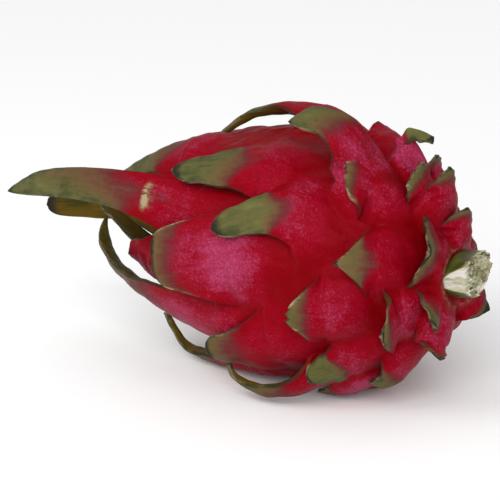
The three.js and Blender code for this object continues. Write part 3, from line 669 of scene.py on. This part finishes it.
def bladeMarks(bract, share, across, width):
    # by the distance to the blade's outline: greenness, which grows along the blade and along its
    # margin; dusk at the tip and on the rim; dryness of the margin and of the scar; and the share of
    # tan, and of folds across the root
    v = np.abs(across)[None, :]
    toSide = (1 - v) * width / 2
    toTip = (1 - share) * bract["reach"]
    edge = np.minimum(toSide, toTip)
    free = smooth(share * 5)
    green = (share - bract["green"]) / bract["fade"] + 0.35 * np.exp(-edge / 1.6) * smooth(share * 2.5 - 0.4)
    green = green + bract["blush"] * across[None, :] * smooth(share * 2.2)
    green = green - (v / 0.7) ** 2 * (1 - smooth(share * 2.5))
    dusk = smooth(1 - toTip / (bract["dark"] * bract["reach"] + 1.5)) + 0.75 * np.exp(-edge / 0.45) * free
    dry = np.exp(-(edge / (0.30 + 5 * bract["torn"])) ** 2) * smooth(share * 2.2 - 0.8)
    dry = dry * (0.55 + 0.45 * (bract["torn"] > 0))
    if "scar" in bract:
        at, aside = bract["scar"]
        scar = np.exp(-((share - at) * bract["reach"] / 0.9) ** 2 - ((v - aside) * width / 8) ** 4)
        dry = np.maximum(dry, 3.0 * scar)
    tan = bract["tan"] * (1 - smooth(1.6 - share * 1.6) * 0.5) * np.ones_like(v)
    fold = bract["fold"] * np.exp(-((share - 0.06) * bract["reach"] / 5) ** 2) * (1 - v ** 4)
    return dict(green=green, dusk=dusk, dry=dry, fold=fold, tan=tan)


def both(values):
    # a blade's values for its outer and its inner points, in the order of its loops
    return np.concatenate([values, values[:, ::-1]], 1).ravel()


def makeBlades(name, group, firstSeed, material):
    # every blade of the group in one mesh: a loop of outer and inner points carried along each
    points, faces = [], []
    keys = ("paintedShadeAndSheen", "green", "dusk", "inner", "outward", "dry", "fold", "tan", "grain")
    marks = {key: [] for key in keys}
    start = 0
    for order, bract in enumerate(group):
        outer, inner, share, across, width, paintedShadeAndSheen = bladeGrid(bract, firstSeed + order)
        marks["paintedShadeAndSheen"].append(both(paintedShadeAndSheen))
        loop = np.concatenate([outer, inner[:, ::-1]], 1)
        loop[..., 2] = aboveFloor(loop[..., 2], 0.0, 1.5)
        rows, columns = loop.shape[:2]
        half = columns // 2
        j = np.arange(half - 1)
        root = np.stack([j, j + 1, columns - 2 - j, columns - 1 - j], -1)
        end = np.stack([j, columns - 1 - j, columns - 2 - j, j + 1], -1) + (rows - 1) * columns
        points.append(loop.reshape(-1, 3))
        faces.append(np.concatenate([ringFaces(rows, columns), root, end]) + start)
        start += rows * columns
        flat = np.zeros_like(share)
        for key, values in bladeMarks(bract, share, across, width).items():
            marks[key].append(both(values))
        marks["outward"].append(both(share))
        lengthwise, crosswise = both(share * bract["reach"]), both(across[None, :] * width / 2)
        depth = np.concatenate([flat, flat + 4], 1).ravel() + 17 * (firstSeed + order)
        marks["grain"].append(np.stack([lengthwise * 0.2, crosswise, depth], -1) * mm)
        marks["inner"].append(np.concatenate([flat, flat + 1 - bract["leafy"]], 1).ravel())
    marks = {key: np.concatenate(values) for key, values in marks.items()}
    piece = makeMesh(name, np.concatenate(points), [np.concatenate(faces)], material, marks)
    piece.data.set_sharp_from_angle(angle=np.radians(50))
    return piece


skinMaterial = fruitSkin()
fruitBody = makeBody(skinMaterial)
print("body made")
bladeGroups = dict(crownBracts=(0, 9), archedBracts=(9, 14), flankBracts=(14, 19),
                   shoulderBracts=(19, 30), stemRingBracts=(30, 40), undersideBracts=(40, 43),
                   farSideBracts=(43, len(bracts)))
bladePieces = [makeBlades(name, bracts[first:last], first, skinMaterial)
               for name, (first, last) in bladeGroups.items()]
print("blades made")

stem = dict(radius=7.8, ridge=0.13, ridges=3, sunk=4.5, tilt=0.19, end=67.3, rake=0.12, tear=1.2,
            tearAt=(7.0, 2.0), tearWide=(3.5, 5.0), sliceFoot=59.3, sliceAt=(-8.9, -0.8), sliceSlope=2.36,
            sliceClimb=0.72, sliceBlend=0.5, sideRows=60, cutRows=80, columns=220, fibre=0.55,
            smoothFibre=0.15, raggedFrom=2.5, raggedFull=9.0, pith=0.5)


def cutHeight(y, z):
    # x of the cut: the lower of two planes, softly joined: the end, with torn fibres that stand out
    # of it on the far side, and a slice off the front that rises steeply from its foot; and how
    # much of the spot lies on the ragged end
    (tearY, tearZ), (wideY, wideZ), (footY, footZ) = stem["tearAt"], stem["tearWide"], stem["sliceAt"]
    away = ((y - tearY) / wideY) ** 2 + ((z - tearZ) / wideZ) ** 2
    end = stem["end"] + stem["rake"] * z + stem["tear"] * np.exp(-away)
    sliced = stem["sliceFoot"] + stem["sliceSlope"] * (y - footY) + stem["sliceClimb"] * (z - footZ)
    ragged = smooth((sliced - end - stem["raggedFrom"]) / (stem["raggedFull"] - stem["raggedFrom"]))
    low = (end + sliced) / 2 - np.sqrt(((end - sliced) / 2) ** 2 + stem["sliceBlend"] ** 2)
    return low + raggedness(y, z, ragged), ragged


def raggedness(y, z, ragged):
    # torn fibres: fine on the slice, coarse and spiky on the ragged end
    spot = np.stack([0 * y, y, z], -1)
    fine = swell(spot, 1.4, 12) + 0.7 * swell(spot * (1, 1, 3), 2.0, 13)
    spiky = np.abs(swell(spot, 1.1, 15)) ** 0.6 * np.sign(swell(spot, 1.1, 15))
    return stem["smoothFibre"] * fine * (1 - ragged) + stem["fibre"] * (fine * 0.5 + spiky) * ragged


def stubGrid():
    # one grid: rings up the side to the cut's edge, then rings inwards over the cut to its middle;
    # radius(angle) = 7.8 (1 + 0.13 cos 3 angle), and the whole stub leans up by a shear
    angle = np.linspace(0, 2 * np.pi, stem["columns"], endpoint=False)[None, :]
    radius = stem["radius"] * (1 + stem["ridge"] * np.cos(stem["ridges"] * angle))
    rise = np.linspace(0, 1, stem["sideRows"])[:, None]
    y, z = -radius * np.cos(angle), radius * np.sin(angle)
    low = body["stemReach"] - stem["sunk"]
    top, ragged = cutHeight(y, z)
    x = low + (top - low) * rise
    pinch = 1 + 0.012 * swell(np.stack(np.broadcast_arrays(x, y, z), -1), 5, 14) + 0 * x
    side = np.stack([x, y * pinch, z * pinch], -1)
    inward = np.linspace(1, 0, stem["cutRows"] + 1)[1:-1, None]
    cutY, cutZ = y * pinch[-1:] * inward, z * pinch[-1:] * inward
    dish = -stem["pith"] * smooth((1 - inward) * 6)
    top, cutRagged = cutHeight(cutY, cutZ)
    cut = np.stack([top + dish * (0.3 + 0.7 * cutRagged), cutY, cutZ], -1)
    grid = np.concatenate([side, cut])
    ragged = np.concatenate([ragged * rise, cutRagged])
    grid[..., 2] += stem["tilt"] * (grid[..., 0] - body["stemReach"])
    return grid, side.shape[0], ragged


def stemSkin():
    # colour = green skin, darker at its foot and yellower near the cut; the slice is a pale grey-green
    # with white fibres, whiter towards its rim; the ragged end is browner with dark holes
    material, tree, shader = newMaterial("stemSkin")
    coords = objectCoords(tree)
    fibres = objectCoords(tree, (0.3, 0.5, 1.6))
    broad = noise(tree, coords, 160, 3)
    rise, ragged = attribute(tree, "rise"), attribute(tree, "ragged")
    skinTone = mixColour(tree, fadeTo(tree, broad, 0.38, 0.62), (0.036, 0.048, 0.004), (0.082, 0.100, 0.010))
    skinTone = mixColour(tree, fadeTo(tree, rise, 0.55, 0.15), skinTone, (0.022, 0.024, 0.004))
    skinTone = mixColour(tree, fadeTo(tree, rise, 0.86, 0.98), skinTone, (0.26, 0.25, 0.12))
    skinTone = mixColour(tree, times(tree, fadeTo(tree, ragged, 0.35, 1.0), 0.7), skinTone,
                         (0.085, 0.092, 0.068))
    fine = noise(tree, fibres, 520, 5, 0.7)
    flesh = mixColour(tree, fadeTo(tree, fine, 0.40, 0.60), (0.27, 0.28, 0.14), (0.42, 0.41, 0.29))
    whiter = plus(tree, times(tree, attribute(tree, "rim"), 0.10),
                  noise(tree, fibres, 320, 4, 0.6))
    flesh = mixColour(tree, fadeTo(tree, whiter, 0.50, 0.66), flesh, (0.58, 0.54, 0.49))
    torn = mixColour(tree, fadeTo(tree, noise(tree, coords, 420, 4, 0.7), 0.42, 0.58),
                     (0.17, 0.15, 0.075), (0.36, 0.35, 0.22))
    torn = mixColour(tree, fadeTo(tree, noise(tree, fibres, 240, 3), 0.50, 0.62), torn, (0.52, 0.49, 0.42))
    flesh = mixColour(tree, ragged, flesh, torn)
    holes = plus(tree, noise(tree, coords, 520, 3, 0.6), times(tree, ragged, 0.08))
    flesh = mixColour(tree, fadeTo(tree, holes, 0.63, 0.74), flesh, (0.028, 0.028, 0.010))
    colour = mixColour(tree, attribute(tree, "cut"), skinTone, flesh)
    tree.links.new(colour, shader.inputs["Base Color"])
    rough = fadeTo(tree, attribute(tree, "cut"), 0, 1, 0.48, 0.82)
    tree.links.new(rough, shader.inputs["Roughness"])
    grain = plus(tree, noise(tree, fibres, 700, 4, 0.7), times(tree, broad, 0.3))
    bump = addNode(tree, "ShaderNodeBump", None, {"Height": grain, "Strength": 0.5, "Distance": 0.0005})
    tree.links.new(bump.outputs[0], shader.inputs["Normal"])
    return material


def makeStem():
    grid, sideRows, ragged = stubGrid()
    rows, columns = grid.shape[:2]
    middle = grid[-1].mean(0)[None, :]
    base = np.array([[body["stemReach"] - stem["sunk"], 0, 0.0]])
    points = np.concatenate([grid.reshape(-1, 3), middle, base])
    points[:, 2] += body["axisHeight"]
    column = np.arange(columns)
    beside = (column + 1) % columns
    last = (rows - 1) * columns
    top = np.stack([last + column, np.full(columns, rows * columns), last + beside], -1)
    foot = np.stack([column, beside, np.full(columns, rows * columns + 1)], -1)
    # marks: how far up the side a spot lies, whether it lies on the cut, and how near to its rim
    flat = np.zeros(columns)
    rise = np.concatenate([np.linspace(0, 1, sideRows), np.ones(rows - sideRows)])[:, None] + flat
    cut = (np.arange(rows) >= sideRows)[:, None] + flat
    rim = np.concatenate([rise[:sideRows] ** 3, np.linspace(1, 0, rows - sideRows)[:, None] ** 3 + flat])
    marks = dict(rise=np.append(rise.ravel(), [1, 0]), cut=np.append(cut.ravel(), [1, 0]),
                 ragged=np.append(ragged.ravel(), [ragged[-1].mean(), 0]), rim=np.append(rim.ravel(), [0, 0]))
    return makeMesh("stemStub", points, [ringFaces(rows, columns), top, foot], stemSkin(), marks)


stemPiece = makeStem()
print("stem made")

for piece in [fruitBody, *bladePieces]:
    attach(piece, "root")
    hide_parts("fruit")
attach(stemPiece, "root")
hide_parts("stem")

# The view: azimuth and elevation of the photograph, the point of the fruit's middle that its frame
# shows at centrePixel, and the size of a pixel there.
view = dict(azimuth=42, elevation=14, distance=700, pixel=0.36, centre=(0, 0, 49), centrePixel=(322, 248),
            frameSide=500, sensor=36)


def makeCamera():
    turn, tilt = np.radians(view["azimuth"]), np.radians(view["elevation"])
    back = Vector((np.sin(turn) * np.cos(tilt), -np.cos(turn) * np.cos(tilt), np.sin(tilt)))
    right = Vector((np.cos(turn), np.sin(turn), 0))
    up = back.cross(right)
    halfFrame = view["frameSide"] / 2
    aim = Vector(view["centre"]) + right * (halfFrame - view["centrePixel"][0]) * view["pixel"]
    aim += up * (view["centrePixel"][1] - halfFrame) * view["pixel"]
    camera = bpy.data.objects.new("camera", bpy.data.cameras.new("camera"))
    camera.data.sensor_width = view["sensor"]
    camera.data.lens = view["sensor"] * view["distance"] / (view["frameSide"] * view["pixel"])
    camera.data.clip_start = 0.01
    axes = Matrix((right, up, back)).transposed().to_4x4()
    camera.matrix_world = Matrix.Translation((aim + back * view["distance"]) * mm) @ axes
    bpy.context.scene.collection.objects.link(camera)
    bpy.context.scene.camera = camera


light = dict(sky=0.60, sun=2.4, sunSpread=40, sunFrom=(0.54, -0.82, 0.54), key=3.0, keySize=0.5,
             keyAt=(-0.20, -0.75, 0.65), floorTone=0.97, floorSide=6.0)


def aimLamp(lamp, place):
    # a lamp at that place in metres, aimed at the fruit's middle
    holder = bpy.data.objects.new(lamp.name, lamp)
    holder.location = place
    holder.rotation_euler = (Vector(place) - Vector((0, 0, 0.05))).to_track_quat("Z", "Y").to_euler()
    bpy.context.scene.collection.objects.link(holder)


def makeStage():
    material, tree, shader = newMaterial("paleFloor")
    shader.inputs["Base Color"].default_value = (light["floorTone"],) * 3 + (1,)
    shader.inputs["Roughness"].default_value = 0.9
    half = light["floorSide"] / 2 / mm
    corners = np.array([(-half, -half, 0), (half, -half, 0), (half, half, 0), (-half, half, 0)], float)
    floor = makeMesh("floor", corners, [[(0, 1, 2, 3)]], material, {})
    world = bpy.data.worlds.new("studio")
    world.use_nodes = True
    world.node_tree.nodes["Background"].inputs["Color"].default_value = (1, 1, 1, 1)
    world.node_tree.nodes["Background"].inputs["Strength"].default_value = light["sky"]
    bpy.context.scene.world = world
    lamp = bpy.data.lights.new("key", "AREA")
    lamp.energy = light["key"]
    lamp.size = light["keySize"]
    aimLamp(lamp, light["keyAt"])
    lamp = bpy.data.lights.new("softSun", "SUN")
    lamp.energy = light["sun"]
    lamp.angle = np.radians(light["sunSpread"])
    aimLamp(lamp, light["sunFrom"])
    bpy.context.scene.view_settings.view_transform = "Standard"


makeCamera()
makeStage()
print("camera, floor and lights made")
